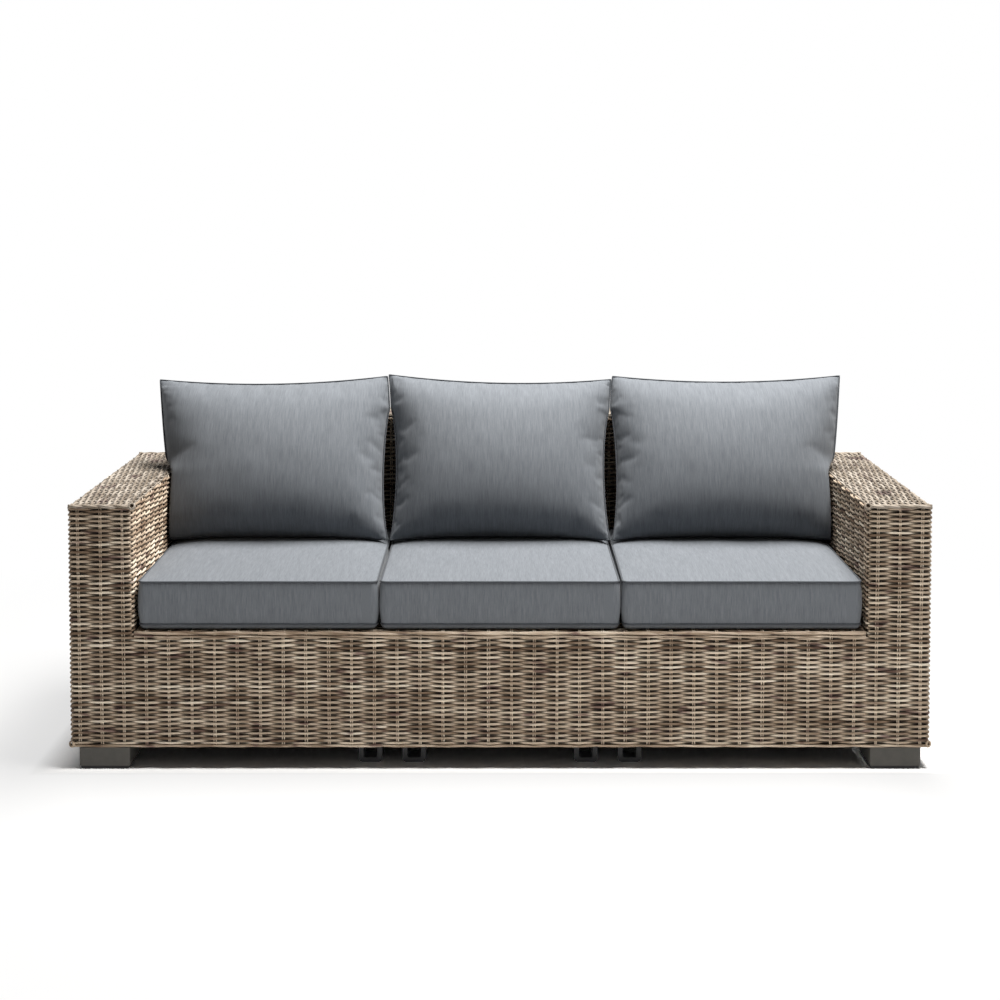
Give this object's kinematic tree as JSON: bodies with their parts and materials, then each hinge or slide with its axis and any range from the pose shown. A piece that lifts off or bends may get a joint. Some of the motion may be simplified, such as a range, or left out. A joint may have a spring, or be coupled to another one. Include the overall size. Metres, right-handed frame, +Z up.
{
  "type": "rattan garden sofa",
  "caption": "Box-shaped garden sofa with high woven rattan walls on a tube frame, block feet and loose grey seat and back cushions.",
  "frame": {"origin": "on the floor, under the middle of the sofa's bounding box", "axes": "+X along the seat towards the sofa's left-hand end seen from behind (right in the picture), +Y towards the back, +Z up"},
  "size_m": [2.2028, 0.8828, 0.9281],
  "materials": {
    "frame": "dark powder-coated square aluminium tube, welded",
    "weave": "round grey-brown rattan strands, plain weave over paired stakes, dull, mottled light and dark",
    "weave_top": "the same rattan on the upper faces, paler where the light falls",
    "foot": "dark grey moulded block foot, satin",
    "glide": "black glide pad, dull",
    "loop_foot": "black moulded loop foot, satin",
    "fabric": "blue-grey woven outdoor fabric with fine slub streaks, piped in the same cloth, dull"
  },
  "bodies": {
    "frame": {"low_rail_front": "frame", "low_rail_back": "frame", "low_rail_left": "frame", "low_rail_right": "frame", "low_joist_left_outer": "frame", "low_joist_left_inner": "frame", "low_joist_right_outer": "frame", "low_joist_right_inner": "frame", "arm_post_left_front_inner": "frame", "arm_post_left_front_outer": "frame", "arm_post_left_back_inner": "frame", "arm_post_left_back_outer": "frame", "arm_post_right_front_inner": "frame", "arm_post_right_front_outer": "frame", "arm_post_right_back_inner": "frame", "arm_post_right_back_outer": "frame", "arm_top_frame_left": "frame", "arm_top_frame_right": "frame", "seat_rail_front": "frame", "seat_rail_back": "frame", "seat_rail_left": "frame", "seat_rail_right": "frame", "seat_bar_1": "frame", "seat_bar_2": "frame", "back_upright_left_outer": "frame", "back_upright_left_inner": "frame", "back_upright_right_outer": "frame", "back_upright_right_inner": "frame", "back_top_frame": "frame", "weave_front_apron": "weave", "weave_arm_left": "weave", "weave_arm_right": "weave", "weave_back_shell": "weave", "weave_back_inner": "weave", "weave_seat_deck": "weave", "weave_arm_top_left": "weave_top", "weave_arm_top_right": "weave_top", "weave_back_top": "weave_top", "foot_front_left": "foot", "foot_front_right": "foot", "foot_back_left": "foot", "foot_back_right": "foot", "foot_glide_front_left": "glide", "foot_glide_front_right": "glide", "foot_glide_back_left": "glide", "foot_glide_back_right": "glide", "loop_foot_front_left_outer": "loop_foot", "loop_foot_front_left_inner": "loop_foot", "loop_foot_front_right_outer": "loop_foot", "loop_foot_front_right_inner": "loop_foot", "loop_foot_back_left_outer": "loop_foot", "loop_foot_back_left_inner": "loop_foot", "loop_foot_back_right_outer": "loop_foot", "loop_foot_back_right_inner": "loop_foot"},
    "seat_cushion_left": {"seat_cushion_left": "fabric"},
    "back_cushion_left": {"back_cushion_left": "fabric"},
    "seat_cushion_middle": {"seat_cushion_middle": "fabric"},
    "back_cushion_middle": {"back_cushion_middle": "fabric"},
    "seat_cushion_right": {"seat_cushion_right": "fabric"},
    "back_cushion_right": {"back_cushion_right": "fabric"}
  },
  "joints": [
    {"name": "seat_cushion_left_lift", "type": "slide", "parent": "frame", "child": "seat_cushion_left", "axis": [0, 0, 1], "range_m": [0, 0.36]},
    {"name": "back_cushion_left_lift", "type": "slide", "parent": "seat_cushion_left", "child": "back_cushion_left", "axis": [0, 0, 1], "range_m": [0, 0.4]},
    {"name": "seat_cushion_middle_lift", "type": "slide", "parent": "frame", "child": "seat_cushion_middle", "axis": [0, 0, 1], "range_m": [0, 0.36]},
    {"name": "back_cushion_middle_lift", "type": "slide", "parent": "seat_cushion_middle", "child": "back_cushion_middle", "axis": [0, 0, 1], "range_m": [0, 0.4]},
    {"name": "seat_cushion_right_lift", "type": "slide", "parent": "frame", "child": "seat_cushion_right", "axis": [0, 0, 1], "range_m": [0, 0.36]},
    {"name": "back_cushion_right_lift", "type": "slide", "parent": "seat_cushion_right", "child": "back_cushion_right", "axis": [0, 0, 1], "range_m": [0, 0.4]}
  ]
}
